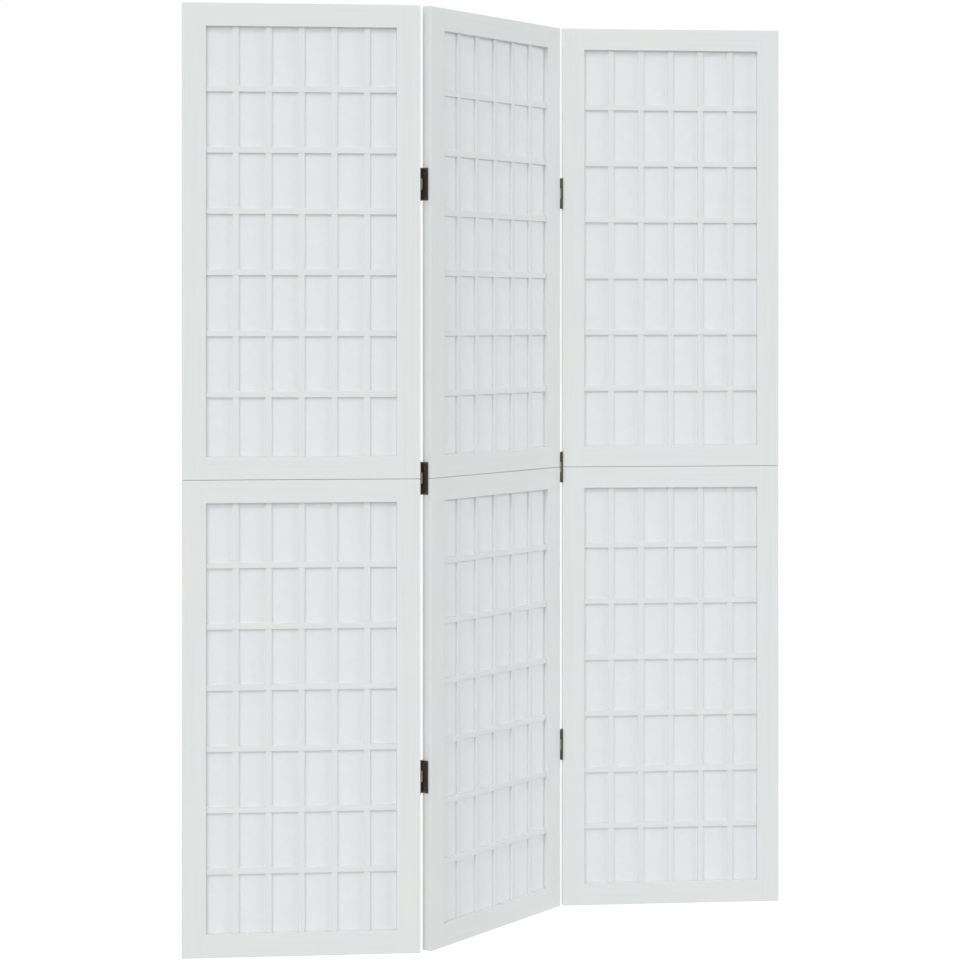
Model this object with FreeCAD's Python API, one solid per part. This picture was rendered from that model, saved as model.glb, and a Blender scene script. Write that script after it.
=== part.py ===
import FreeCAD, Part
import math
import os

os.makedirs("parts", exist_ok=True)

# A three-panel folding screen, standing in a zigzag. Millimetres and degrees, +Z up.
# A panel is two light wooden frames, one stacked on the other and joined across the seam.
# Each frame clamps one sheet of paper at mid-thickness, between a half-lapped lattice
# in front and a grid of thin battens behind. Three butt hinges join each pair of panels.

# Panels: the width of one panel, the height of one of its two frames, and the wood
PANEL_WIDTH = 450.0
HALF_HEIGHT = 900.0
FRAME_THICKNESS = 20.0
STILE_WIDTH = 45.0
RAIL_WIDTH = 43.5
EASED_EDGE = 1.0

# Zigzag: how far the middle panel is turned, and how far each fold is from flat
MIDDLE_ANGLE = 49.5
LEFT_FOLD_ANGLE = 49.5
RIGHT_FOLD_ANGLE = 49.5

# Mortise and tenon at the frame corners: the wood left outside the mortise, the tenon's
# thickness, the step at its top and bottom, and the play round it
MORTISE_FLOOR = 20.0
TENON_THICKNESS = 8.0
TENON_SHOULDER = 7.0
MORTISE_PLAY = 0.1

# Paper, and the saw kerf round the opening that takes its edges
PAPER_THICKNESS = 0.4
PAPER_LAP = 4.0
KERF_PLAY = 0.1
KERF_SPARE = 1.0

# Lattice in front of the paper: upright slats and level bars, halved into each other,
# with the bars a hair proud of the slats
SLAT_COUNT = 5
SLAT_WIDTH = 12.0
SLAT_THICKNESS = 4.6
BAR_COUNT = 6
BAR_WIDTH = 11.5
BAR_PITCH = 115.5
BAR_PROUD = 0.3
LAP_DEPTH = 2.3

# Backing grid behind the paper: thin battens in line with the slats and bars, laid crosswise
BATTEN_THICKNESS = 2.4

# Loose tongues glued into both frames of a panel across the seam
TONGUE_WIDTH = 40.0
TONGUE_THICKNESS = 6.0
TONGUE_HEIGHT = 36.0
TONGUE_INSET = 110.0
TONGUE_END_PLAY = 0.5

# Butt hinges: three on each fold, one of them across the seam, and the others centred
# at their insets from the floor and from the top
HINGE_LENGTH = 62.0
LOWER_HINGE_INSET = 331.0
UPPER_HINGE_INSET = 339.0
LEAF_REACH = 14.0
LEAF_THICKNESS = 1.0
KNUCKLE_COUNT = 3
KNUCKLE_GAP = 0.3
KNUCKLE_RELIEF = 0.5
NOTCH_PLAY = 0.3

# Hinge pins, with a low head closed over the knuckles at each end
PIN_DIAMETER = 2.0
PIN_PLAY = 0.05
PIN_HEAD_DIAMETER = 4.6
PIN_HEAD_CROWN = 3.0
PIN_HEAD_HEIGHT = 0.6

# Countersunk wood screws in the leaves
SCREWS_PER_LEAF_COUNT = 2
SCREW_SPACING = 42.0
SCREW_LENGTH = 14.0
SCREW_HEAD_RADIUS = 2.6
SCREW_SHANK_RADIUS = 1.4

# Knuckles, pin heads and screws are drawn with flats: on a knuckle these lie within 0.1 mm
# of the true round
HINGE_FLAT_COUNT = 12
SCREW_FLAT_COUNT = 6

# How far a cutting shape runs past the face that it cuts, and what counts as touching
OVERRUN = 5.0
TOUCH = 0.001

# Worked out from the sizes above
OPENING_WIDTH = PANEL_WIDTH - 2 * STILE_WIDTH
OPENING_HEIGHT = HALF_HEIGHT - 2 * RAIL_WIDTH
TENON_LENGTH = STILE_WIDTH - MORTISE_FLOOR - MORTISE_PLAY
KERF_DEPTH = PAPER_LAP + KERF_SPARE
KERF_WIDTH = PAPER_THICKNESS + 2 * KERF_PLAY
SLAT_PITCH = (OPENING_WIDTH + SLAT_WIDTH) / (SLAT_COUNT + 1)
BAR_THICKNESS = SLAT_THICKNESS + BAR_PROUD
BORE_RADIUS = PIN_DIAMETER / 2 + PIN_PLAY
KNUCKLE_RADIUS = BORE_RADIUS + LEAF_THICKNESS
PIN_FROM_CENTRE = PANEL_WIDTH / 2 + KNUCKLE_RADIUS
PIN_FROM_MIDPLANE = FRAME_THICKNESS / 2 + KNUCKLE_RADIUS + KNUCKLE_RELIEF

# Every panel is drawn about its own centre line: x across it, y from front to back, z up.
# LEFT and RIGHT are its two edges, FRONT and BACK its two faces.
LEFT = -1
RIGHT = 1
FRONT = -1
BACK = 1
UPWARD = FreeCAD.Vector(0, 0, 1)


def box(x_span, y_span, z_span):
    """A box from three (low, high) spans."""
    size = [high - low for low, high in (x_span, y_span, z_span)]
    corner = FreeCAD.Vector(x_span[0], y_span[0], z_span[0])
    return Part.makeBox(size[0], size[1], size[2], corner)


def about(centre, width):
    """The span of one width about its centre."""
    return (centre - width / 2, centre + width / 2)


def evenly(count, pitch):
    """Centres of a row of equal pieces about zero."""
    return [(i - (count - 1) / 2) * pitch for i in range(count)]


def eased(bar, x_planes, z_planes):
    """A bar with its front and back arrises chamfered where they lie in the given planes."""
    faces = (bar.BoundBox.YMin, bar.BoundBox.YMax)
    chosen = []
    for edge in bar.Edges:
        middle = edge.CenterOfMass
        on_face = min(abs(middle.y - y) for y in faces) < TOUCH
        on_side = any(abs(middle.x - x) < TOUCH for x in x_planes)
        on_end = any(abs(middle.z - z) < TOUCH for z in z_planes)
        if on_face and (on_side or on_end):
            chosen.append(edge)
    return bar.makeChamfer(EASED_EDGE, chosen)


def prism(points, along):
    """The solid swept by a closed flat outline."""
    return Part.Face(Part.makePolygon(points + points[:1])).extrude(along)


def faceted(profile, origin, axis, flats):
    """A turned piece drawn with flats, from (distance along its axis, radius) pairs."""
    across = FreeCAD.Vector(0, 1, 0)
    up = axis.cross(across)
    rings = []
    for along, radius in profile:
        ring = []
        for i in range(flats):
            turn = 2 * math.pi * i / flats
            ray = across * math.cos(turn) + up * math.sin(turn)
            ring.append(origin + axis * along + ray * radius)
        rings.append(ring)
    faces = [Part.Face(Part.makePolygon(end + end[:1])) for end in (rings[0], rings[-1])]
    for near, far in zip(rings, rings[1:]):
        for i in range(flats):
            j = (i + 1) % flats
            faces.append(Part.Face(Part.makePolygon([near[i], near[j], far[j], far[i], near[i]])))
    solid = Part.makeSolid(Part.makeShell(faces))
    if solid.Volume < 0:
        solid.reverse()
    return solid


# Frames of a panel


def half_bottoms():
    """The names of the two frames of a panel, and the height at which each one starts."""
    return (("lower", 0), ("upper", HALF_HEIGHT))


def tenon_span(rail_z):
    """Height of the tenon on a rail that starts at rail_z."""
    return (rail_z + TENON_SHOULDER, rail_z + RAIL_WIDTH - TENON_SHOULDER)


def rail_starts(z):
    """Where the bottom rail and the top rail of the frame that starts at z begin."""
    return (z, z + HALF_HEIGHT - RAIL_WIDTH)


def stile(edge, z):
    """An upright of the frame: two blind mortises for the rails and the paper's kerf."""
    outer = edge * PANEL_WIDTH / 2
    inner = edge * OPENING_WIDTH / 2
    middle = (outer + inner) / 2
    bar = box(about(middle, STILE_WIDTH), about(0, FRAME_THICKNESS), (z, z + HALF_HEIGHT))
    bar = eased(bar, [outer], [z, z + HALF_HEIGHT])
    for rail_z in rail_starts(z):
        low, high = tenon_span(rail_z)
        reach = TENON_LENGTH + MORTISE_PLAY
        mortise = box(
            about(inner, 2 * reach),
            about(0, TENON_THICKNESS + 2 * MORTISE_PLAY),
            (low - MORTISE_PLAY, high + MORTISE_PLAY),
        )
        bar = bar.cut(mortise)
    kerf = box(
        about(inner, 2 * KERF_DEPTH),
        about(0, KERF_WIDTH),
        (z + RAIL_WIDTH - KERF_DEPTH, z + HALF_HEIGHT - RAIL_WIDTH + KERF_DEPTH),
    )
    return bar.cut(kerf)


def rail(z, inward):
    """A level member of the frame, tenoned at both ends. inward is 1 if the opening is above."""
    outer = z if inward > 0 else z + RAIL_WIDTH
    inner = z + RAIL_WIDTH if inward > 0 else z
    bar = box(about(0, OPENING_WIDTH), about(0, FRAME_THICKNESS), (z, z + RAIL_WIDTH))
    bar = eased(bar, [], [outer])
    tenons = box(
        about(0, OPENING_WIDTH + 2 * TENON_LENGTH),
        about(0, TENON_THICKNESS),
        tenon_span(z),
    )
    kerf = box(
        about(0, OPENING_WIDTH + 2 * OVERRUN),
        about(0, KERF_WIDTH),
        about(inner, 2 * KERF_DEPTH),
    )
    return bar.fuse(tenons).cut(kerf)


def seam_tongues(play_side, play_end):
    """The two loose tongues across the seam, or with play the slots that take them."""
    reach = PANEL_WIDTH / 2 - TONGUE_INSET
    return [
        box(
            about(x, TONGUE_WIDTH + 2 * play_side),
            about(0, TONGUE_THICKNESS + 2 * play_side),
            about(HALF_HEIGHT, TONGUE_HEIGHT + 2 * play_end),
        )
        for x in (-reach, reach)
    ]


def paper(z):
    """One sheet, lapped into the kerf on all four sides."""
    middle = z + HALF_HEIGHT / 2
    return box(
        about(0, OPENING_WIDTH + 2 * PAPER_LAP),
        about(0, PAPER_THICKNESS),
        about(middle, OPENING_HEIGHT + 2 * PAPER_LAP),
    )


# Lattice and backing grid


def notched_profile(length, thickness, centres, notch_width, depth):
    """Outline of a strip lying along the first axis, notched from its upper side."""
    corners = [(-length / 2, 0), (length / 2, 0), (length / 2, thickness)]
    for centre in sorted(centres, reverse=True):
        low, high = about(centre, notch_width)
        corners += [(high, thickness), (high, thickness - depth)]
        corners += [(low, thickness - depth), (low, thickness)]
    corners.append((-length / 2, thickness))
    return corners


def lattice(z):
    """Half-lapped lattice in front of the paper: each slat and bar is a piece of its own."""
    middle = z + HALF_HEIGHT / 2
    back = -PAPER_THICKNESS / 2
    columns = evenly(SLAT_COUNT, SLAT_PITCH)
    rows = evenly(BAR_COUNT, BAR_PITCH)
    pieces = []
    # The slats are notched in front, so that the bars run unbroken across them
    profile = notched_profile(OPENING_HEIGHT, SLAT_THICKNESS, rows, BAR_WIDTH, LAP_DEPTH)
    for x in columns:
        left = x - SLAT_WIDTH / 2
        outline = [FreeCAD.Vector(left, back - t, middle + along) for along, t in profile]
        pieces.append(prism(outline, FreeCAD.Vector(SLAT_WIDTH, 0, 0)))
    # The bars are notched behind, over what the slats keep
    kept = SLAT_THICKNESS - LAP_DEPTH
    profile = notched_profile(OPENING_WIDTH, BAR_THICKNESS, columns, SLAT_WIDTH, kept)
    for row in rows:
        low = middle + row - BAR_WIDTH / 2
        front = back - BAR_THICKNESS
        outline = [FreeCAD.Vector(along, front + t, low) for along, t in profile]
        pieces.append(prism(outline, FreeCAD.Vector(0, 0, BAR_WIDTH)))
    return pieces


def backing_grid(z):
    """Thin battens behind the paper: uprights against it, and level ones laid over them."""
    middle = z + HALF_HEIGHT / 2
    sheet = PAPER_THICKNESS / 2
    upright = (sheet, sheet + BATTEN_THICKNESS)
    level = (sheet + BATTEN_THICKNESS, sheet + 2 * BATTEN_THICKNESS)
    pieces = []
    for x in evenly(SLAT_COUNT, SLAT_PITCH):
        pieces.append(box(about(x, SLAT_WIDTH), upright, about(middle, OPENING_HEIGHT)))
    for row in evenly(BAR_COUNT, BAR_PITCH):
        pieces.append(box(about(0, OPENING_WIDTH), level, about(middle + row, BAR_WIDTH)))
    return pieces


# Hinges: drawn on the edge and face of the panel that carry the pin


def hinge_heights():
    """Centres of the three hinges of a fold."""
    return (LOWER_HINGE_INSET, HALF_HEIGHT, 2 * HALF_HEIGHT - UPPER_HINGE_INSET)


def from_pin(edge, face, inward, outward, z):
    """A point given from the pin: inward is towards the panel, outward is away from its face."""
    x = edge * (PIN_FROM_CENTRE - inward)
    y = face * (PIN_FROM_MIDPLANE + outward)
    return FreeCAD.Vector(x, y, z)


def rolled_leaf(edge, face, z, first):
    """A leaf, flat on the panel's edge and rolled round the pin. It keeps every second knuckle
    from the first one given, and the rest are cut away for the other leaf."""
    reach = PIN_FROM_MIDPLANE - FRAME_THICKNESS / 2 + LEAF_REACH
    tuck = math.asin(BORE_RADIUS / KNUCKLE_RADIUS)
    roll = math.pi * 3 / 2 + tuck
    steps = math.ceil(HINGE_FLAT_COUNT * roll / (2 * math.pi))
    outline = [from_pin(edge, face, KNUCKLE_RADIUS, -reach, z)]
    for i in range(steps + 1):
        turn = roll * i / steps
        inward = KNUCKLE_RADIUS * math.cos(turn)
        outward = KNUCKLE_RADIUS * math.sin(turn)
        outline.append(from_pin(edge, face, inward, outward, z))
    outline.append(from_pin(edge, face, BORE_RADIUS, -reach, z))
    leaf = prism(outline, FreeCAD.Vector(0, 0, HINGE_LENGTH))
    bore_corner = BORE_RADIUS / math.cos(math.pi / HINGE_FLAT_COUNT)
    ends = [(-OVERRUN, bore_corner), (HINGE_LENGTH + OVERRUN, bore_corner)]
    leaf = leaf.cut(faceted(ends, from_pin(edge, face, 0, 0, z), UPWARD, HINGE_FLAT_COUNT))
    near = from_pin(edge, face, KNUCKLE_RADIUS + OVERRUN, -KNUCKLE_RADIUS - NOTCH_PLAY, z)
    far = from_pin(edge, face, -KNUCKLE_RADIUS - OVERRUN, KNUCKLE_RADIUS + OVERRUN, z)
    x_span = (min(near.x, far.x), max(near.x, far.x))
    y_span = (min(near.y, far.y), max(near.y, far.y))
    knuckle_height = HINGE_LENGTH / KNUCKLE_COUNT
    for i in range(KNUCKLE_COUNT):
        if i % 2 != first:
            middle = z + (i + 1 / 2) * knuckle_height
            leaf = leaf.cut(box(x_span, y_span, about(middle, knuckle_height + KNUCKLE_GAP)))
    return leaf


def pin(edge, face, z):
    """The hinge pin: a round shank, and at each end a low crowned head over the knuckles."""
    foot = from_pin(edge, face, 0, 0, z)
    top = from_pin(edge, face, 0, 0, z + HINGE_LENGTH)
    head = [(0, PIN_HEAD_DIAMETER / 2), (PIN_HEAD_HEIGHT, PIN_HEAD_CROWN / 2)]
    shank = Part.makeCylinder(PIN_DIAMETER / 2, HINGE_LENGTH, foot, UPWARD)
    upper_head = faceted(head, top, UPWARD, HINGE_FLAT_COUNT)
    lower_head = faceted(head, foot, UPWARD * -1, HINGE_FLAT_COUNT)
    return shank.fuse([upper_head, lower_head])


def screw(edge, face, z):
    """A countersunk screw, flush in the leaf, driven square into the panel's edge."""
    profile = [
        (0, SCREW_HEAD_RADIUS),
        (LEAF_THICKNESS, SCREW_SHANK_RADIUS),
        (SCREW_LENGTH, SCREW_SHANK_RADIUS),
    ]
    head_x = edge * (PANEL_WIDTH / 2 + LEAF_THICKNESS)
    head_y = face * (FRAME_THICKNESS - LEAF_REACH) / 2
    inward = FreeCAD.Vector(-edge, 0, 0)
    return faceted(profile, FreeCAD.Vector(head_x, head_y, z), inward, SCREW_FLAT_COUNT)


def screws(edge, face):
    """The screws of one leaf of all three hinges of a fold."""
    pieces = []
    for height in hinge_heights():
        for step in evenly(SCREWS_PER_LEAF_COUNT, SCREW_SPACING):
            pieces.append(screw(edge, face, height + step))
    return pieces


def hinge_foots():
    """Heights of the lower ends of the hinges."""
    return [height - HINGE_LENGTH / 2 for height in hinge_heights()]


def drilled(shape, drills):
    """A shape with each screw's own hole through it, left alone where none reaches it."""
    near = [d for d in drills if d.BoundBox.intersect(shape.BoundBox)]
    return shape.cut(near) if near else shape


# Placing a panel: the middle one is turned about the origin, and each outer one is hung
# on its pin and turned back by its fold


def turned(x, y, degrees):
    """A point turned about the vertical axis through the origin."""
    angle = math.radians(degrees)
    return (
        x * math.cos(angle) - y * math.sin(angle),
        x * math.sin(angle) + y * math.cos(angle),
    )


def hung(edge, face, turn):
    """Placement of an outer panel on the pin at the middle panel's edge and face."""
    pin_x, pin_y = turned(edge * PIN_FROM_CENTRE, face * PIN_FROM_MIDPLANE, MIDDLE_ANGLE)
    own_x, own_y = turned(-edge * PIN_FROM_CENTRE, face * PIN_FROM_MIDPLANE, turn)
    where = FreeCAD.Vector(pin_x - own_x, pin_y - own_y, 0)
    return FreeCAD.Placement(where, FreeCAD.Rotation(UPWARD, turn))


PANELS = {
    "left": hung(LEFT, BACK, MIDDLE_ANGLE - LEFT_FOLD_ANGLE),
    "middle": FreeCAD.Placement(FreeCAD.Vector(0, 0, 0), FreeCAD.Rotation(UPWARD, MIDDLE_ANGLE)),
    "right": hung(RIGHT, FRONT, MIDDLE_ANGLE - RIGHT_FOLD_ANGLE),
}

# The folds: the edge and face of the middle panel that carry the pins, and the outer panel
FOLDS = {
    "left": (LEFT, BACK),
    "right": (RIGHT, FRONT),
}


def save(node, panel, pieces):
    """Write the pieces of one node, in the place of the panel that they belong to."""
    placed = []
    for piece in pieces:
        copy = piece.copy()
        copy.Placement = PANELS[panel].multiply(copy.Placement)
        placed.append(copy)
    shape = placed[0] if len(placed) == 1 else Part.makeCompound(placed)
    shape.exportStep("parts/" + node + ".step")


def edge_screws(panel):
    """The screws driven into a panel's two edges, which its stiles are drilled for."""
    pieces = []
    for fold, (edge, face) in FOLDS.items():
        if panel == "middle":
            pieces += screws(edge, face)
        elif panel == fold:
            pieces += screws(-edge, face)
    return pieces


for panel in PANELS:
    drills = edge_screws(panel)
    slots = seam_tongues(MORTISE_PLAY, TONGUE_END_PLAY)
    save(panel + "_panel_seam_tongues", panel, seam_tongues(0, 0))
    for half, z in half_bottoms():
        name = panel + "_panel_" + half + "_"
        bottom_z, top_z = rail_starts(z)
        save(name + "left_stile", panel, [drilled(stile(LEFT, z), drills)])
        save(name + "right_stile", panel, [drilled(stile(RIGHT, z), drills)])
        save(name + "bottom_rail", panel, [drilled(rail(bottom_z, 1), slots)])
        save(name + "top_rail", panel, [drilled(rail(top_z, -1), slots)])
        save(name + "paper", panel, [paper(z)])
        save(name + "lattice", panel, lattice(z))
        save(name + "backing_grid", panel, backing_grid(z))

for fold, (edge, face) in FOLDS.items():
    inner_screws = screws(edge, face)
    outer_screws = screws(-edge, face)
    inner_leaves = [rolled_leaf(edge, face, z, 0) for z in hinge_foots()]
    outer_leaves = [rolled_leaf(-edge, face, z, 1) for z in hinge_foots()]
    name = fold + "_fold_"
    save(name + "middle_panel_leaves", "middle", [drilled(s, inner_screws) for s in inner_leaves])
    save(name + "outer_panel_leaves", fold, [drilled(s, outer_screws) for s in outer_leaves])
    save(name + "hinge_pins", "middle", [pin(edge, face, z) for z in hinge_foots()])
    save(name + "middle_panel_screws", "middle", inner_screws)
    save(name + "outer_panel_screws", fold, outer_screws)
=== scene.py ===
import bmesh
import bpy
import math
import numpy as np
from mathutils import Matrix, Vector


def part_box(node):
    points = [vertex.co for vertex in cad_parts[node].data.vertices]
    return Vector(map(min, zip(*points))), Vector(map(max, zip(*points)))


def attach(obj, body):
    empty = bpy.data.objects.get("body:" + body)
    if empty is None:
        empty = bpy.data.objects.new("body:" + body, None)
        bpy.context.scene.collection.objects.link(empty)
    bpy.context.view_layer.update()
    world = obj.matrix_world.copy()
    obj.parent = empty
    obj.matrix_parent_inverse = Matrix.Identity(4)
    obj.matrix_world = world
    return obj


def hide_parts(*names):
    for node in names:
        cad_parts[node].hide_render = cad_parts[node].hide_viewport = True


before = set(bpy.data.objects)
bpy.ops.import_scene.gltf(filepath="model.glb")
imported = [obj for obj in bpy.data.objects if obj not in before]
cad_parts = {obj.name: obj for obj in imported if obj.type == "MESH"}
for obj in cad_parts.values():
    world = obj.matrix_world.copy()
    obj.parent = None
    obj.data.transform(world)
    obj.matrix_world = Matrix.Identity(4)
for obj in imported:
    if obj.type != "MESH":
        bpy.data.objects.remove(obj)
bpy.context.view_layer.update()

# Stiles: the twelve uprights of the frames, planed softwood under white satin paint.
# A tall frame stands on a low one in each panel, and every stile ends at the seam between
# them with its arrises rubbed round before painting. Rails are tenoned into its inner edge.
PANEL_BODY = {"left": "left_panel", "middle": "middle_panel", "right": "right_panel"}
PANEL_TURN = {"left": 0.0, "middle": math.radians(49.5), "right": 0.0}
FRAME_FOOT = {"lower": 0.0, "upper": 0.9}
FRAME_HEIGHT = 0.9
SEAM_EASE = 0.0003
PANEL_WIDTH = 0.45
STILE_WIDTH = 0.045
FRAME_DEPTH = 0.02
OUTER_ROUND = 0.0012
INNER_ROUND = 0.0005
ROUND_GIVES = 0.9
TRUE_FLAT = 0.001
PAINT_COLOUR = (0.768, 0.784, 0.781)
STREAK_SHADE = 0.955
STREAK_LENGTH = 0.25
STREAK_WIDTH = 0.004


def into_panel(panel, points):
    """Panel coordinates turned into the row frame. A point is the panel's centre, plus its first
    number along the panel's width, its second through the panel to the back, its third upwards."""
    low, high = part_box(f"{panel}_panel_lower_paper")
    centre = np.array([(low.x + high.x) / 2, (low.y + high.y) / 2, 0.0])
    turn = PANEL_TURN[panel]
    across = np.array([math.cos(turn), math.sin(turn), 0.0])
    through = np.array([-math.sin(turn), math.cos(turn), 0.0])
    up = np.array([0.0, 0.0, 1.0])
    return centre + points[..., :1] * across + points[..., 1:2] * through + points[..., 2:] * up


def frame_ends(part):
    """Bottom and top of a frame. Both frames of a panel stand back from the seam by a hair."""
    foot = FRAME_FOOT[part]
    if part == "lower":
        return foot, foot + FRAME_HEIGHT - SEAM_EASE
    return foot + SEAM_EASE, foot + FRAME_HEIGHT


def rounded_ends(low, high, radius, steps=3):
    """Stations along a bar and how far its section is drawn in at each. Near an end the station is
    r(1 - cos a) from it and the section is drawn in by r(1 - sin a), a quarter circle in all."""
    a = np.linspace(0, np.pi / 2, steps + 1)
    near, drawn = radius * (1 - np.cos(a)), radius * (1 - np.sin(a))
    return np.concatenate([low + near, (high - near)[::-1]]), np.concatenate([drawn, drawn[::-1]])


def bar_rings(along, drawn, width, depth, rounds, steps=3):
    """The surface of a bar as rings of points (along, width, depth). Each ring is a rectangle whose
    four corners are quarter circles. What it is drawn in comes off their radii, as far as they
    give way, and then off its sides."""
    corner = np.arange(4).repeat(steps + 1)
    angle = corner * np.pi / 2 + np.tile(np.linspace(0, np.pi / 2, steps + 1), 4)
    to_wide = np.where((corner == 0) | (corner == 3), 1.0, -1.0)
    to_deep = np.where(corner < 2, 1.0, -1.0)
    radius = np.asarray(rounds)[corner]
    depth = np.broadcast_to(np.asarray(depth, float).reshape(-1, 2), (len(along), 2))
    reach = radius[None, :] - np.minimum(drawn[:, None], radius[None, :] * ROUND_GIVES)
    extra = np.maximum(drawn[:, None] - radius[None, :] * ROUND_GIVES, 0)
    half_width = (width[1] - width[0]) / 2 - radius[None, :] - extra
    half_depth = (depth[:, 1:] - depth[:, :1]) / 2 - radius[None, :] - extra
    w = (width[0] + width[1]) / 2 + to_wide * half_width + reach * np.cos(angle)
    d = depth.mean(axis=1, keepdims=True) + to_deep * half_depth + reach * np.sin(angle)
    return np.stack([np.broadcast_to(along[:, None], w.shape), w, d], axis=-1)


def ring_faces(stations, around, bars, start=0):
    """Faces of bars that all have the same rings: quads between rings, one polygon on each end.
    The first bar's points are counted from the start, and each bar's follow on the last one's."""
    grid = np.arange(stations * around).reshape(stations, around)
    beside = np.roll(grid, -1, axis=1)
    quads = np.stack([grid[:-1], beside[:-1], beside[1:], grid[1:]], axis=-1).reshape(-1, 4)
    caps = [grid[0][::-1], grid[-1]]
    firsts = start + grid.size * np.arange(bars)
    faces = (firsts[:, None, None] + quads).reshape(-1, 4).tolist()
    return faces + [(first + cap).tolist() for first in firsts for cap in caps]


def shaped(name, points, faces, flat_over=0.0):
    """A mesh object from points and faces, with its faces turned outwards. Faces of a larger area
    than flat_over, the true flats, keep flat shading beside the smooth rounds."""
    mesh = bpy.data.meshes.new(name)
    mesh.from_pydata(points.reshape(-1, 3).tolist(), [], faces)
    turned = bmesh.new()
    turned.from_mesh(mesh)
    bmesh.ops.recalc_face_normals(turned, faces=turned.faces)
    for face in turned.faces:
        face.smooth = face.calc_area() < flat_over or flat_over == 0
    turned.to_mesh(mesh)
    turned.free()
    piece = bpy.data.objects.new(name, mesh)
    bpy.context.scene.collection.objects.link(piece)
    return piece


def satin_paint(name, turn, lengthways):
    """White satin paint over planed wood. Its faint streaks and brush ridges are noise drawn out
    along the grain, after the pattern is turned with the panel. A finer noise is its skin."""
    material = bpy.data.materials.new(name)
    material.use_nodes = True
    tree = material.node_tree
    shader = tree.nodes["Principled BSDF"]
    place = tree.nodes.new("ShaderNodeTexCoord")
    along = tree.nodes.new("ShaderNodeMapping")
    along.vector_type = "TEXTURE"
    along.inputs["Rotation"].default_value = (0, 0, turn)
    drawn_out = [STREAK_WIDTH, STREAK_WIDTH, STREAK_WIDTH]
    drawn_out[0 if lengthways else 2] = STREAK_LENGTH
    along.inputs["Scale"].default_value = drawn_out
    tree.links.new(place.outputs["Object"], along.inputs["Vector"])
    streak = tree.nodes.new("ShaderNodeTexNoise")
    streak.inputs["Scale"].default_value = 1.0
    streak.inputs["Detail"].default_value = 5.0
    streak.inputs["Roughness"].default_value = 0.62
    tree.links.new(along.outputs["Vector"], streak.inputs["Vector"])
    cloud = tree.nodes.new("ShaderNodeTexNoise")
    cloud.inputs["Scale"].default_value = 9.0
    cloud.inputs["Detail"].default_value = 3.0
    tree.links.new(place.outputs["Object"], cloud.inputs["Vector"])
    skin = tree.nodes.new("ShaderNodeTexNoise")
    skin.inputs["Scale"].default_value = 900.0
    skin.inputs["Detail"].default_value = 2.0
    tree.links.new(place.outputs["Object"], skin.inputs["Vector"])
    tone = tree.nodes.new("ShaderNodeValToRGB")
    tone.color_ramp.elements[0].position = 0.22
    tone.color_ramp.elements[0].color = (*[c * STREAK_SHADE for c in PAINT_COLOUR], 1)
    tone.color_ramp.elements[1].position = 0.60
    tone.color_ramp.elements[1].color = (*PAINT_COLOUR, 1)
    tree.links.new(streak.outputs["Fac"], tone.inputs["Fac"])
    drift = tree.nodes.new("ShaderNodeMix")
    drift.data_type = "RGBA"
    drift.blend_type = "MULTIPLY"
    drift.inputs["Factor"].default_value = 0.05
    tree.links.new(tone.outputs["Color"], drift.inputs["A"])
    tree.links.new(cloud.outputs["Color"], drift.inputs["B"])
    tree.links.new(drift.outputs["Result"], shader.inputs["Base Color"])
    gloss = tree.nodes.new("ShaderNodeMapRange")
    gloss.inputs["From Min"].default_value = 0.3
    gloss.inputs["From Max"].default_value = 0.7
    gloss.inputs["To Min"].default_value = 0.40
    gloss.inputs["To Max"].default_value = 0.55
    tree.links.new(streak.outputs["Fac"], gloss.inputs["Value"])
    tree.links.new(gloss.outputs["Result"], shader.inputs["Roughness"])
    ridges = tree.nodes.new("ShaderNodeBump")
    ridges.inputs["Strength"].default_value = 0.35
    ridges.inputs["Distance"].default_value = 0.0002
    tree.links.new(streak.outputs["Fac"], ridges.inputs["Height"])
    pores = tree.nodes.new("ShaderNodeBump")
    pores.inputs["Strength"].default_value = 0.25
    pores.inputs["Distance"].default_value = 0.00005
    tree.links.new(skin.outputs["Fac"], pores.inputs["Height"])
    tree.links.new(ridges.outputs["Normal"], pores.inputs["Normal"])
    tree.links.new(pores.outputs["Normal"], shader.inputs["Normal"])
    return material


upright_paint = satin_paint("upright_paint", 0.0, False)

for panel, body in PANEL_BODY.items():
    for part in FRAME_FOOT:
        for side, sign in (("left", -1), ("right", 1)):
            node = f"{panel}_panel_{part}_{side}_stile"
            along, drawn = rounded_ends(*frame_ends(part), OUTER_ROUND)
            edge = sign * PANEL_WIDTH / 2
            width = sorted((edge, edge - sign * STILE_WIDTH))
            wide, narrow = (OUTER_ROUND, INNER_ROUND) if sign > 0 else (INNER_ROUND, OUTER_ROUND)
            depth = (-FRAME_DEPTH / 2, FRAME_DEPTH / 2)
            rings = bar_rings(along, drawn, width, depth, (wide, narrow, narrow, wide))
            local = rings[..., [1, 2, 0]]
            faces = ring_faces(*rings.shape[:2], 1)
            piece = shaped(f"{node}_wood", into_panel(panel, local), faces, TRUE_FLAT)
            piece.data.materials.append(upright_paint)
            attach(piece, body)
            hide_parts(node)

# Rails: the level members that close each frame at top and bottom, of the same painted wood.
# Their ends run into the stiles, and the paint bridges the joint, so that only a hairline
# shows there. The edge that meets the other frame or the floor is rubbed round like a stile's.
RAIL_WIDTH = 0.0435
SHOULDER = 0.0006
level_paint = {0.0: satin_paint("level_paint", 0.0, True)}
level_paint[PANEL_TURN["middle"]] = satin_paint("turned_level_paint", PANEL_TURN["middle"], True)

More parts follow.
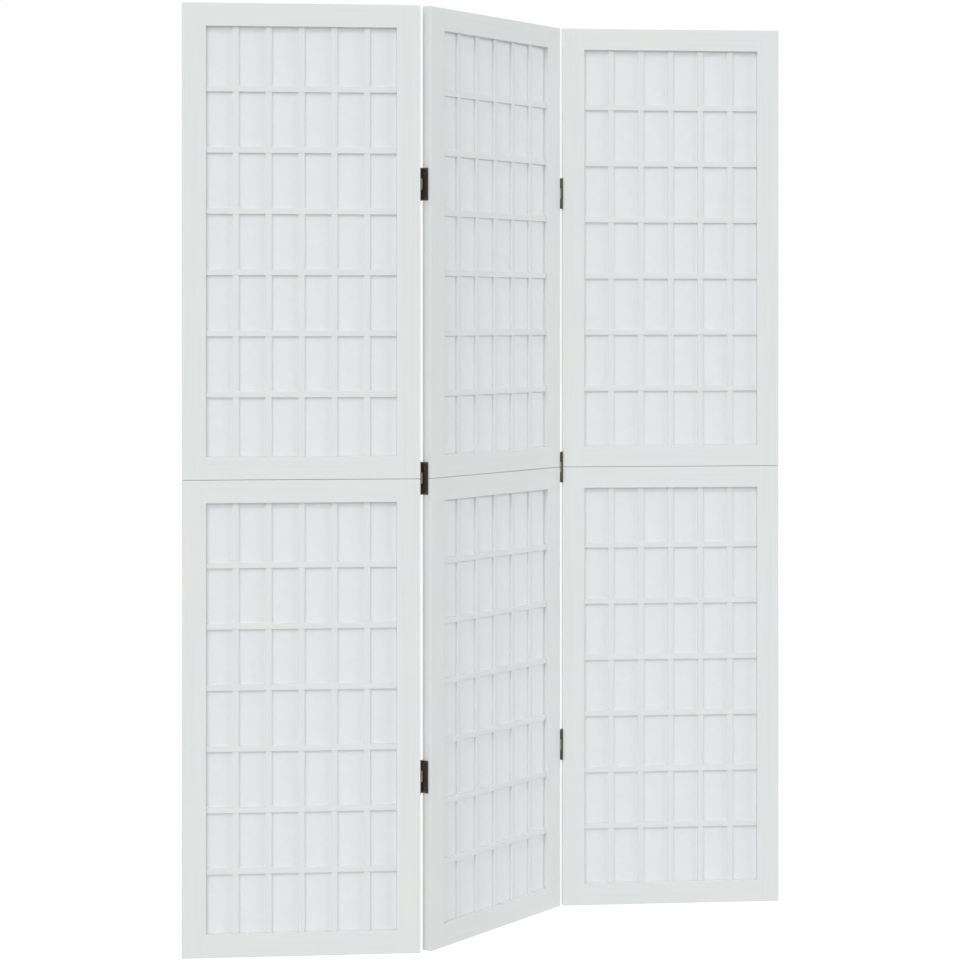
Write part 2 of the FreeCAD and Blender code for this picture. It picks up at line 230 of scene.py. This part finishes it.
for panel, body in PANEL_BODY.items():
    for part, foot in FRAME_FOOT.items():
        bottom, top = frame_ends(part)
        opening = (foot + RAIL_WIDTH, foot + FRAME_HEIGHT - RAIL_WIDTH)
        spans = (("bottom", (bottom, opening[0]), 1), ("top", (opening[1], top), -1))
        for which, width, inward in spans:
            node = f"{panel}_panel_{part}_{which}_rail"
            half = PANEL_WIDTH / 2 - STILE_WIDTH + SHOULDER
            along, drawn = rounded_ends(-half, half, INNER_ROUND / 2)
            high, low = (INNER_ROUND, OUTER_ROUND) if inward > 0 else (OUTER_ROUND, INNER_ROUND)
            depth = (-FRAME_DEPTH / 2, FRAME_DEPTH / 2)
            rings = bar_rings(along, drawn, width, depth, (high, low, low, high))
            local = rings[..., [0, 2, 1]]
            faces = ring_faces(*rings.shape[:2], 1)
            piece = shaped(f"{node}_wood", into_panel(panel, local), faces, TRUE_FLAT)
            piece.data.materials.append(level_paint[PANEL_TURN[panel]])
            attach(piece, body)
            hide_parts(node)

# Paper: one sheet of white fibre paper in each frame, its edges in the saw kerf round the
# opening. Lattice and backing hold it along every slat, and between them it cockles slightly.
OPENING_WIDTH = PANEL_WIDTH - 2 * STILE_WIDTH
OPENING_HEIGHT = FRAME_HEIGHT - 2 * RAIL_WIDTH
SHEET_LAP = 0.004
SHEET_WIDTH = OPENING_WIDTH + 2 * SHEET_LAP
SHEET_HEIGHT = OPENING_HEIGHT + 2 * SHEET_LAP
SHEET_THICKNESS = 0.0004
SLAT_PITCH = 0.062
BAR_PITCH = 0.1155
HELD_HALF = 0.006
EASE = 0.014
COCKLE = 0.00035
COCKLE_WAVES = ((1.0, 71, 19, 1.0), (1.0, 43, -37, 2.3), (0.6, 23, 61, 4.1))
PANEL_SHIFT = 1.7
FLAT_EDGE = 0.002
SHEET_COLUMNS = 61
SHEET_ROWS = 113
PAPER_COLOUR = (0.808, 0.818, 0.833)
CLOUD_SHADE = 0.965


def free_share(distance, pitch):
    """How free the sheet is at a place: nothing within the held half-width of a slat, rising by a
    smooth step to one. The distance is taken to the nearest multiple of the pitch."""
    away = np.abs((distance + pitch / 2) % pitch - pitch / 2) - HELD_HALF
    t = np.clip(away / EASE, 0, 1)
    return t * t * (3 - 2 * t)


def paper_surface(middle, shift):
    """The sheet's middle surface on a grid of width by height. Its depth is a sum of slow sine
    waves, each of its own height, length and direction, times how free the sheet is there. The
    shift moves each wave on, so that no two sheets are alike."""
    x, z = np.meshgrid(
        np.linspace(-SHEET_WIDTH / 2, SHEET_WIDTH / 2, SHEET_COLUMNS),
        np.linspace(-SHEET_HEIGHT / 2, SHEET_HEIGHT / 2, SHEET_ROWS),
    )
    waves = sum(
        size * np.sin(across * x + upwards * z + phase * shift)
        for size, across, upwards, phase in COCKLE_WAVES
    )
    free = free_share(x, SLAT_PITCH) * free_share(z + BAR_PITCH / 2, BAR_PITCH)
    free *= np.abs(x) < OPENING_WIDTH / 2 - FLAT_EDGE
    free *= np.abs(z) < OPENING_HEIGHT / 2 - FLAT_EDGE
    y = COCKLE / sum(size for size, *_ in COCKLE_WAVES) * waves * free
    return np.stack([x, y, z + middle], axis=-1)


def grid_quads(shape):
    """Faces between the neighbours of a grid of points, kept in rows and columns like the grid."""
    grid = np.arange(shape[0] * shape[1]).reshape(shape)
    return np.stack([grid[:-1, :-1], grid[:-1, 1:], grid[1:, 1:], grid[1:, :-1]], axis=-1)


def fibre_paper():
    """White fibre paper: a pale tone broken by a cloudy noise, with a tooth of short fine fibres,
    which is a bump made from a fine noise bent over itself."""
    material = bpy.data.materials.new("fibre_paper")
    material.use_nodes = True
    tree = material.node_tree
    shader = tree.nodes["Principled BSDF"]
    place = tree.nodes.new("ShaderNodeTexCoord")
    cloud = tree.nodes.new("ShaderNodeTexNoise")
    cloud.inputs["Scale"].default_value = 60.0
    cloud.inputs["Detail"].default_value = 6.0
    cloud.inputs["Roughness"].default_value = 0.7
    tree.links.new(place.outputs["Object"], cloud.inputs["Vector"])
    tone = tree.nodes.new("ShaderNodeValToRGB")
    tone.color_ramp.elements[0].position = 0.25
    tone.color_ramp.elements[0].color = (*[c * CLOUD_SHADE for c in PAPER_COLOUR], 1)
    tone.color_ramp.elements[1].position = 0.65
    tone.color_ramp.elements[1].color = (*PAPER_COLOUR, 1)
    tree.links.new(cloud.outputs["Fac"], tone.inputs["Fac"])
    tree.links.new(tone.outputs["Color"], shader.inputs["Base Color"])
    fibres = tree.nodes.new("ShaderNodeTexNoise")
    fibres.inputs["Scale"].default_value = 420.0
    fibres.inputs["Detail"].default_value = 3.0
    fibres.inputs["Distortion"].default_value = 2.5
    tree.links.new(place.outputs["Object"], fibres.inputs["Vector"])
    tooth = tree.nodes.new("ShaderNodeBump")
    tooth.inputs["Strength"].default_value = 0.3
    tooth.inputs["Distance"].default_value = 0.0001
    tree.links.new(fibres.outputs["Fac"], tooth.inputs["Height"])
    tree.links.new(tooth.outputs["Normal"], shader.inputs["Normal"])
    shader.inputs["Roughness"].default_value = 0.88
    shader.inputs["Specular IOR Level"].default_value = 0.25
    return material


paper_finish = fibre_paper()

for number, (panel, body) in enumerate(PANEL_BODY.items()):
    for part, foot in FRAME_FOOT.items():
        node = f"{panel}_panel_{part}_paper"
        local = paper_surface(foot + FRAME_HEIGHT / 2, PANEL_SHIFT * number + foot)
        quads = grid_quads(local.shape[:2]).reshape(-1, 4).tolist()
        piece = shaped(f"{node}_sheet", into_panel(panel, local), quads)
        wall = piece.modifiers.new("thickness", "SOLIDIFY")
        wall.thickness = SHEET_THICKNESS
        wall.offset = 0
        piece.data.materials.append(paper_finish)
        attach(piece, body)
        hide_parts(node)
        members = ["left_stile", "right_stile", "bottom_rail", "top_rail"]
        members += ["lattice", "backing_grid"]

# Lattice: five slats and six bars of thin painted strip in front of the paper, halved into
# each other. The bars run unbroken across the slats and stand a hair proud of them.
SLATS = 5
BARS = 6
SLAT_WIDTH = 0.012
BAR_WIDTH = 0.0115
SLAT_FACE = -0.0048
BAR_FACE = -0.0051
STRIP_BACK = -0.0002
NOTCH_FACE = -0.0025
SLAT_ROUND = 0.0007
BAR_ROUND = 0.0004
GLUED_ROUND = 0.0001
STRIP_FLAT = 0.00002
SLIVER = 1e-7


def row_of(count, pitch):
    """Centres of equal strips about zero: the number of each, less the middle one's, times the
    pitch."""
    return (np.arange(count) - (count - 1) / 2) * pitch


def notched_strip(length, width, radius, centres, gap, whole, notched):
    """A strip along its own length with square notches. It is a bar whose two depths change from
    those of the whole strip to those of the notch at each side of each centre. Its front arrises
    are rounded, and those that lie on the paper are sharp."""
    along, drawn = rounded_ends(-length / 2, length / 2, BAR_ROUND, 2)
    cuts = (centres[:, None] + np.array([-gap, -gap, gap, gap]) / 2).ravel()
    half = len(along) // 2
    stations = np.concatenate([along[:half], cuts, along[half:]])
    inset = np.concatenate([drawn[:half], np.zeros(len(cuts)), drawn[half:]])
    depth = np.tile(np.array(whole, float), (len(stations), 1))
    in_notch = np.tile([False, True, True, False], len(centres))
    depth[half : half + len(cuts)][in_notch] = notched
    rounds = (GLUED_ROUND, GLUED_ROUND, radius, radius)
    return bar_rings(stations, inset, (-width / 2, width / 2), depth, rounds, 2)


def strips(rings, centres, order, middle, start=0):
    """Copies of one strip at the given centres, put in panel coordinates and raised to the middle
    of the frame, and their faces, with the points counted from the start."""
    copies = np.repeat(rings[None], len(centres), axis=0)
    copies[..., 1] += centres[:, None, None]
    local = copies[..., order]
    local[..., 2] += middle
    return local.reshape(-1, 3), ring_faces(*rings.shape[:2], len(centres), start)


def painted_both_ways(piece, panel, uprights):
    """Paint with upright streaks on so many of the first faces, and level ones on the rest."""
    piece.data.materials.append(upright_paint)
    piece.data.materials.append(level_paint[PANEL_TURN[panel]])
    of_level = np.zeros(len(piece.data.polygons), np.int32)
    of_level[uprights:] = 1
    piece.data.polygons.foreach_set("material_index", of_level)


def without_slivers(piece):
    """The piece with its edges of no length closed up. Both sections of a strip meet at the side
    of a notch, where the faces that run on through it have no area."""
    closed = bmesh.new()
    closed.from_mesh(piece.data)
    bmesh.ops.dissolve_degenerate(closed, dist=SLIVER, edges=closed.edges)
    closed.to_mesh(piece.data)
    closed.free()


columns, rows = row_of(SLATS, SLAT_PITCH), row_of(BARS, BAR_PITCH)
slat = notched_strip(
    OPENING_HEIGHT, SLAT_WIDTH, SLAT_ROUND, rows, BAR_WIDTH,
    whole=(SLAT_FACE, STRIP_BACK), notched=(NOTCH_FACE, STRIP_BACK),
)
bar = notched_strip(
    OPENING_WIDTH, BAR_WIDTH, BAR_ROUND, columns, SLAT_WIDTH,
    whole=(BAR_FACE, STRIP_BACK), notched=(BAR_FACE, NOTCH_FACE),
)

for panel, body in PANEL_BODY.items():
    for part, foot in FRAME_FOOT.items():
        node = f"{panel}_panel_{part}_lattice"
        middle = foot + FRAME_HEIGHT / 2
        standing, upright_faces = strips(slat, columns, [1, 2, 0], middle)
        level, level_faces = strips(bar, rows, [0, 2, 1], middle, len(standing))
        points = into_panel(panel, np.concatenate([standing, level]))
        piece = shaped(f"{node}_strips", points, upright_faces + level_faces, STRIP_FLAT)
        painted_both_ways(piece, panel, len(upright_faces))
        without_slivers(piece)
        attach(piece, body)
        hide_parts(node)

# Backing grid: thin battens behind the paper, in line with the lattice. The uprights lie
# against the paper and the level ones are laid across them, all painted with the frame.
BATTEN = 0.0024
BATTEN_ROUND = 0.0006


def plain_strip(length, width, front, back):
    """A straight batten, sharp at the front and rounded at the back, centred on its length and
    width."""
    along, drawn = rounded_ends(-length / 2, length / 2, BAR_ROUND, 2)
    rounds = (BATTEN_ROUND, BATTEN_ROUND, GLUED_ROUND, GLUED_ROUND)
    return bar_rings(along, drawn, (-width / 2, width / 2), (front, back), rounds, 2)


sheet_back = SHEET_THICKNESS / 2
upright = plain_strip(OPENING_HEIGHT, SLAT_WIDTH, sheet_back, sheet_back + BATTEN)
crossing = plain_strip(OPENING_WIDTH, BAR_WIDTH, sheet_back + BATTEN, sheet_back + 2 * BATTEN)

for panel, body in PANEL_BODY.items():
    for part, foot in FRAME_FOOT.items():
        node = f"{panel}_panel_{part}_backing_grid"
        middle = foot + FRAME_HEIGHT / 2
        standing, upright_faces = strips(upright, columns, [1, 2, 0], middle)
        level, level_faces = strips(crossing, rows, [0, 2, 1], middle, len(standing))
        points = into_panel(panel, np.concatenate([standing, level]))
        piece = shaped(f"{node}_battens", points, upright_faces + level_faces, STRIP_FLAT)
        painted_both_ways(piece, panel, len(upright_faces))
        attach(piece, body)
        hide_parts(node)

# Seam tongues: loose tongues of bare wood, glued into slots of both frames across the seam.
# They are shut inside the rails, so the plain solids stay and only take the wood's finish.
PALE_WOOD = (0.62, 0.44, 0.26, 1)
LATE_WOOD = (0.42, 0.27, 0.14, 1)


def bare_wood():
    """Planed pale wood: its warm bands are a noise drawn out along the grain."""
    material = bpy.data.materials.new("bare_wood")
    material.use_nodes = True
    tree = material.node_tree
    shader = tree.nodes["Principled BSDF"]
    place = tree.nodes.new("ShaderNodeTexCoord")
    grain = tree.nodes.new("ShaderNodeMapping")
    grain.vector_type = "TEXTURE"
    grain.inputs["Scale"].default_value = (0.004, 0.004, 0.06)
    tree.links.new(place.outputs["Object"], grain.inputs["Vector"])
    rings = tree.nodes.new("ShaderNodeTexNoise")
    rings.inputs["Scale"].default_value = 1.0
    rings.inputs["Detail"].default_value = 4.0
    tree.links.new(grain.outputs["Vector"], rings.inputs["Vector"])
    tone = tree.nodes.new("ShaderNodeValToRGB")
    tone.color_ramp.elements[0].position = 0.3
    tone.color_ramp.elements[0].color = LATE_WOOD
    tone.color_ramp.elements[1].position = 0.7
    tone.color_ramp.elements[1].color = PALE_WOOD
    tree.links.new(rings.outputs["Fac"], tone.inputs["Fac"])
    tree.links.new(tone.outputs["Color"], shader.inputs["Base Color"])
    shader.inputs["Roughness"].default_value = 0.65
    return material


tongue_wood = bare_wood()
for panel in PANEL_BODY:
    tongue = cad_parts[f"{panel}_panel_seam_tongues"]
    tongue.data.materials.clear()
    tongue.data.materials.append(tongue_wood)

# Hinge leaves: stamped steel, screwed flat on the edges of the panels and rolled round the
# pin. The middle panel's leaf has the two end knuckles, the outer panel's the middle one.
FOLD_PLACE = {"left": (-1, 1), "right": (1, -1)}
HINGE_LENGTH = 0.062
HINGE_CENTRES = (0.331, 0.9, 1.461)
LEAF_THICKNESS = 0.001
LEAF_REACH = 0.01655
BORE_RADIUS = 0.00105
PIN_FROM_MIDPLANE = 0.01255
KNUCKLE_GAP = 0.0003
KNUCKLE_RADIUS = BORE_RADIUS + LEAF_THICKNESS
NOTCH_PLAY = 0.0003
NOTCH_FOOT = LEAF_REACH - KNUCKLE_RADIUS - NOTCH_PLAY
SCREW_FROM_EDGE = 0.007
SCREW_RISE = 0.021
SCREW_HOLE = 0.00265
HOLE_SQUARE = 0.0015
ROLL_SHORT = 0.06
ROLL_STEPS = 20


def leaf_surface(first):
    """A leaf's middle surface on a grid of run by height. The run goes straight up the leaf, then
    round the pin on a circle. Points two squares out from a screw are moved onto the circle of
    its hole, each on its own bearing. Cells in a hole, or on the other leaf's knuckles, are left
    out."""
    radius = BORE_RADIUS + LEAF_THICKNESS / 2
    roll = 1.5 * math.pi + math.asin(BORE_RADIUS / KNUCKLE_RADIUS) - ROLL_SHORT
    squares = HOLE_SQUARE * np.arange(-3, 4)
    flat = np.concatenate([[0.0], SCREW_FROM_EDGE + squares, [NOTCH_FOOT, LEAF_REACH]])
    turned = radius * np.linspace(0, roll, ROLL_STEPS + 1)[1:]
    run = np.concatenate([flat, LEAF_REACH + turned])
    third, gap = HINGE_LENGTH / 3, KNUCKLE_GAP / 2
    holes = (HINGE_LENGTH / 2 - SCREW_RISE, HINGE_LENGTH / 2 + SCREW_RISE)
    ends = [0, third - gap, third + gap, 2 * third - gap, 2 * third + gap, HINGE_LENGTH]
    rise = np.unique(np.concatenate([ends] + [hole + squares for hole in holes]).round(6))
    s, z = np.meshgrid(run, rise)
    cell_s, cell_z = np.meshgrid((run[1:] + run[:-1]) / 2, (rise[1:] + rise[:-1]) / 2)
    keep = np.ones(cell_s.shape, bool)
    for hole in holes:
        ds, dz = s - SCREW_FROM_EDGE, z - hole
        out = np.maximum(np.abs(ds), np.abs(dz)) / HOLE_SQUARE
        length = np.maximum(np.hypot(ds, dz), 1e-9)
        near = (out > 1.5) & (out < 2.5)
        s = np.where(near, SCREW_FROM_EDGE + ds / length * SCREW_HOLE, s)
        z = np.where(near, hole + dz / length * SCREW_HOLE, z)
        from_hole = np.maximum(np.abs(cell_s - SCREW_FROM_EDGE), np.abs(cell_z - hole))
        keep &= from_hole >= 2 * HOLE_SQUARE
    knuckle = np.floor(cell_z / third).astype(int)
    near_end = np.abs(cell_z - np.round(cell_z / third) * third) < gap
    other = (knuckle % 2 != first) | (near_end & (cell_z > third / 2) & (cell_z < 2.5 * third))
    keep &= ~(other & (cell_s > NOTCH_FOOT))
    turn = np.maximum(s - LEAF_REACH, 0) / radius
    inward = radius * np.cos(turn)
    outward = np.minimum(s - LEAF_REACH, 0) + radius * np.sin(turn)
    return inward, outward, z, grid_quads(s.shape)[keep]


def only_used(points, quads):
    """The points that the faces use, in the same order, and the faces counted in them."""
    used, counted = np.unique(quads, return_inverse=True)
    return points.reshape(-1, 3)[used], counted.reshape(quads.shape)


def from_pins(edge, face, inward, outward, z):
    """Points given from the pins put in panel coordinates, once for each of a fold's hinges."""
    feet = np.array(HINGE_CENTRES) - HINGE_LENGTH / 2
    x = edge * (PANEL_WIDTH / 2 + KNUCKLE_RADIUS - inward)
    y = face * (PIN_FROM_MIDPLANE + outward)
    return np.stack([np.stack([x, y, z + foot], axis=-1) for foot in feet])


def dark_bronze(name, colour, painted_sheen):
    """Dark bronze lacquer on steel, with upright streaks of painted sheen: a noise drawn out along
    the height makes the tone lighter there, as painted sheen, and the gloss higher, and a fine one
    gives the grain of the lacquer."""
    material = bpy.data.materials.new(name)
    material.use_nodes = True
    tree = material.node_tree
    shader = tree.nodes["Principled BSDF"]
    shader.inputs["Metallic"].default_value = 0.3
    place = tree.nodes.new("ShaderNodeTexCoord")
    drawn_up = tree.nodes.new("ShaderNodeMapping")
    drawn_up.vector_type = "TEXTURE"
    drawn_up.inputs["Scale"].default_value = (0.0025, 0.0025, 0.03)
    tree.links.new(place.outputs["Object"], drawn_up.inputs["Vector"])
    streak = tree.nodes.new("ShaderNodeTexNoise")
    streak.inputs["Scale"].default_value = 1.0
    streak.inputs["Detail"].default_value = 4.0
    tree.links.new(drawn_up.outputs["Vector"], streak.inputs["Vector"])
    # The ramp's lighter end, on the streaks, is painted sheen; the gloss below follows the same
    # streaks.
    tone = tree.nodes.new("ShaderNodeValToRGB")
    tone.color_ramp.elements[0].position = 0.38
    tone.color_ramp.elements[0].color = (*colour, 1)
    tone.color_ramp.elements[1].position = 0.75
    tone.color_ramp.elements[1].color = (*painted_sheen, 1)
    tree.links.new(streak.outputs["Fac"], tone.inputs["Fac"])
    tree.links.new(tone.outputs["Color"], shader.inputs["Base Color"])
    gloss = tree.nodes.new("ShaderNodeMapRange")
    gloss.inputs["To Min"].default_value = 0.52
    gloss.inputs["To Max"].default_value = 0.34
    tree.links.new(streak.outputs["Fac"], gloss.inputs["Value"])
    tree.links.new(gloss.outputs["Result"], shader.inputs["Roughness"])
    speck = tree.nodes.new("ShaderNodeTexNoise")
    speck.inputs["Scale"].default_value = 1500.0
    tree.links.new(place.outputs["Object"], speck.inputs["Vector"])
    grain = tree.nodes.new("ShaderNodeBump")
    grain.inputs["Strength"].default_value = 0.3
    grain.inputs["Distance"].default_value = 0.00005
    tree.links.new(speck.outputs["Fac"], grain.inputs["Height"])
    tree.links.new(grain.outputs["Normal"], shader.inputs["Normal"])
    return material


# The second colour is the painted sheen on the leaves' streaks.
leaf_bronze = dark_bronze("leaf_bronze", (0.047, 0.038, 0.024), (0.110, 0.096, 0.064))

for fold, (edge, face) in FOLD_PLACE.items():
    for owner, panel, side, first in (("middle", "middle", edge, 0), ("outer", fold, -edge, 1)):
        node = f"{fold}_fold_{owner}_panel_leaves"
        inward, outward, z, quads = leaf_surface(first)
        local = from_pins(side, face, inward, outward, z)
        of_hinges = np.concatenate([quads + z.size * i for i in range(len(local))])
        points, of_hinges = only_used(into_panel(panel, local), of_hinges)
        piece = shaped(f"{node}_steel", points, of_hinges.tolist())
        wall = piece.modifiers.new("thickness", "SOLIDIFY")
        wall.thickness = LEAF_THICKNESS
        wall.offset = 0
        wall.use_even_offset = True
        piece.data.materials.append(leaf_bronze)
        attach(piece, PANEL_BODY[panel])
        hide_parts(node)

# Hinge pins: round wire through the knuckles, closed over them at each end with a low head.
# A pin stays in the middle panel's knuckles, and the outer panel's one turns on it.
PIN_RADIUS = 0.001
HEAD_RADIUS = 0.0023
HEAD_RISE = 0.0006
AROUND_PIN = 32
PIN_CREASE = math.radians(50)


def turned_surface(profile, around):
    """A surface of revolution: every (height, radius) pair of the profile becomes a ring of points
    radius times the cosine and sine of an even turn, and the first and last ring close it."""
    height, radius = np.array(profile).T
    turn = np.linspace(0, 2 * np.pi, around, endpoint=False)
    x = radius[:, None] * np.cos(turn)
    y = radius[:, None] * np.sin(turn)
    return x, y, np.broadcast_to(height[:, None], x.shape)


def pin_profile():
    """Half the outline of a pin with a head like a low dome on each end: its radius falls as the
    cosine of an angle while its height grows as the sine."""
    a = np.linspace(0, 0.46 * np.pi, 7)
    dome_radius, dome_rise = HEAD_RADIUS * np.cos(a), HEAD_RISE * np.sin(a)
    lower = [(-h, r) for h, r in zip(dome_rise[::-1], dome_radius[::-1])]
    upper = [(HINGE_LENGTH + h, r) for h, r in zip(dome_rise, dome_radius)]
    return lower + [(0.0, PIN_RADIUS), (HINGE_LENGTH, PIN_RADIUS)] + upper


for fold, (edge, face) in FOLD_PLACE.items():
    node = f"{fold}_fold_hinge_pins"
    x, y, z = turned_surface(pin_profile(), AROUND_PIN)
    local = from_pins(edge, face, x, y, z)
    faces = ring_faces(*x.shape, len(local))
    piece = shaped(f"{node}_wire", into_panel("middle", local), faces)
    piece.data.set_sharp_from_angle(angle=PIN_CREASE)
    piece.data.materials.append(leaf_bronze)
    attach(piece, "middle_panel")
    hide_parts(node)

# Screws: two countersunk wood screws in each leaf, with a plain cross recess. The head sits
# in the leaf's hole and the shank in the stile.
SCREW_HEAD = 0.0026
SCREW_SHANK = 0.0014
SCREW_LENGTH = 0.014
SCREW_TAPER = 0.010
SCREW_TIP = 0.0003
SCREW_CENTRE = 0.00003
RIM_WIDTH = 0.0001
RIM_DROP = 0.00008
SLOT_WIDTH = 0.00042
SLOT_REACH = 0.0016
SLOT_DEPTH = 0.0007
SLOT_SIDE = 0.4 * SLOT_WIDTH
SLOT_END = 0.0003
AROUND_SCREW = 48
SCREW_CREASE = math.radians(40)
FIRST_TURN = 0.35
NEXT_TURN = 1.1
# The second colour is the painted sheen on the screw heads' streaks.
screw_bronze = dark_bronze("screw_bronze", (0.040, 0.034, 0.024), (0.14, 0.125, 0.095))


def screw_surface():
    """A screw about its own axis, as rings of (depth, radius). Over the head's top the depth adds a
    cross: the recess depth times a soft step of how near the point is to either of two lines."""
    top = np.linspace(SCREW_CENTRE, SCREW_HEAD - RIM_WIDTH, 14)
    head = [(0.0, r) for r in top] + [(RIM_DROP, SCREW_HEAD)]
    shank = [(LEAF_THICKNESS, SCREW_SHANK), (SCREW_TAPER, SCREW_SHANK), (SCREW_LENGTH, SCREW_TIP)]
    profile = head + shank
    x, y, depth = turned_surface(profile, AROUND_SCREW)
    across = np.minimum(np.abs(x), np.abs(y))
    reach = np.hypot(x, y)
    in_line = np.clip((SLOT_WIDTH - across) / SLOT_SIDE + 0.5, 0, 1)
    in_reach = np.clip((SLOT_REACH - reach) / SLOT_END + 0.5, 0, 1)
    on_top = (np.arange(len(profile)) < len(top))[:, None]
    return x, y, depth + SLOT_DEPTH * in_line * in_reach * on_top


for fold, (edge, face) in FOLD_PLACE.items():
    for owner, panel, side in (("middle", "middle", edge), ("outer", fold, -edge)):
        node = f"{fold}_fold_{owner}_panel_screws"
        x, y, depth = screw_surface()
        heads = [z + rise for z in HINGE_CENTRES for rise in (-SCREW_RISE, SCREW_RISE)]
        copies = []
        for number, head in enumerate(heads):
            turn = FIRST_TURN + NEXT_TURN * number
            level = x * math.cos(turn) - y * math.sin(turn)
            up = x * math.sin(turn) + y * math.cos(turn)
            from_centre = side * (PANEL_WIDTH / 2 + LEAF_THICKNESS - depth)
            through = face * (FRAME_DEPTH / 2 - SCREW_FROM_EDGE) + level
            copies.append(np.stack([from_centre, through, head + up], axis=-1))
        faces = ring_faces(*x.shape, len(heads))
        piece = shaped(f"{node}_steel", into_panel(panel, np.stack(copies)), faces)
        piece.data.set_sharp_from_angle(angle=SCREW_CREASE)
        piece.data.materials.append(screw_bronze)
        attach(piece, PANEL_BODY[panel])
        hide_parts(node)

# Floor, light and camera: a plain white studio floor, evenly lit. A compact key light stands high
# on the left in front, and broad soft lights fill from above and all round. The camera is level,
# a little left of the screen.
FLOOR_REACH = 40.0
LIGHT_DISTANCE = 3.0
floor_mesh = bpy.data.meshes.new("studio_floor")
corners = [(x * FLOOR_REACH, y * FLOOR_REACH, 0) for x, y in ((-1, -1), (1, -1), (1, 1), (-1, 1))]
floor_mesh.from_pydata(corners, [], [(0, 1, 2, 3)])
floor = bpy.data.objects.new("studio_floor", floor_mesh)
bpy.context.scene.collection.objects.link(floor)
floor_paint = bpy.data.materials.new("floor_paint")
floor_paint.use_nodes = True
floor_shader = floor_paint.node_tree.nodes["Principled BSDF"]
floor_shader.inputs["Base Color"].default_value = (0.06, 0.06, 0.06, 1)
floor_shader.inputs["Roughness"].default_value = 0.9
floor_shader.inputs["Specular IOR Level"].default_value = 0.1
floor_shader.inputs["Emission Color"].default_value = (1, 1, 1, 1)
floor_shader.inputs["Emission Strength"].default_value = 0.95
floor_mesh.materials.append(floor_paint)
floor.visible_diffuse = False
floor.visible_shadow = False


def soft_light(name, bearing, height, spread, strength):
    """A distant light, spread as from a softbox. Its bearing is counted from straight in front of
    the screen towards the right, and its height from level, both in degrees."""
    data = bpy.data.lights.new(name, "SUN")
    data.angle = math.radians(spread)
    data.energy = strength
    light = bpy.data.objects.new(name, data)
    turn, rise = math.radians(bearing), math.radians(height)
    level = math.cos(rise)
    source = Vector((math.sin(turn) * level, -math.cos(turn) * level, math.sin(rise)))
    light.rotation_euler = (-source).to_track_quat("-Z", "Y").to_euler()
    light.location = source * LIGHT_DISTANCE
    bpy.context.scene.collection.objects.link(light)


soft_light("key", -28.0, 44.0, 14.0, 0.70)
soft_light("upper_fill", -5.0, 20.0, 30.0, 0.57)
soft_light("front_fill", 0.0, 10.0, 60.0, 0.31)
soft_light("left_fill", -50.0, 25.0, 50.0, 0.55)
soft_light("right_fill", 75.0, 20.0, 36.0, 1.10)
soft_light("overhead", 0.0, 80.0, 40.0, 0.5)
soft_light("left_back", -150.0, 25.0, 60.0, 1.1)
soft_light("right_back", 150.0, 25.0, 60.0, 1.1)


# The room: white behind the screen as the camera sees it, and its light on the screen comes mostly
# from below, as a white floor would throw it, though the floor itself throws none.
ROOM_ABOVE = 0.12
ROOM_BELOW = 0.57
BACKDROP = 1.0
world = bpy.data.worlds.new("studio_room")
world.use_nodes = True
room = world.node_tree
way = room.nodes.new("ShaderNodeTexCoord")
split = room.nodes.new("ShaderNodeSeparateXYZ")
room.links.new(way.outputs["Generated"], split.inputs["Vector"])
glow = room.nodes.new("ShaderNodeMapRange")
glow.inputs["From Min"].default_value = -0.3
glow.inputs["From Max"].default_value = 0.3
glow.inputs["To Min"].default_value = ROOM_BELOW
glow.inputs["To Max"].default_value = ROOM_ABOVE
room.links.new(split.outputs["Z"], glow.inputs["Value"])
ray = room.nodes.new("ShaderNodeLightPath")
seen = room.nodes.new("ShaderNodeMix")
seen.data_type = "FLOAT"
seen.inputs["B"].default_value = BACKDROP
room.links.new(ray.outputs["Is Camera Ray"], seen.inputs["Factor"])
room.links.new(glow.outputs["Result"], seen.inputs["A"])
room.links.new(seen.outputs["Result"], room.nodes["Background"].inputs["Strength"])
room.nodes["Background"].inputs["Color"].default_value = (1, 1, 1, 1)
bpy.context.scene.world = world
bpy.context.scene.view_settings.view_transform = "Standard"

camera_data = bpy.data.cameras.new("camera")
camera_data.lens = 93.6
camera_data.sensor_width = 36.0
camera_data.shift_y = -0.1689
camera = bpy.data.objects.new("camera", camera_data)
camera.location = (-0.498, -4.916, 1.206)
camera.rotation_euler = (math.pi / 2, 0, -0.0954)
bpy.context.scene.collection.objects.link(camera)
bpy.context.scene.camera = camera
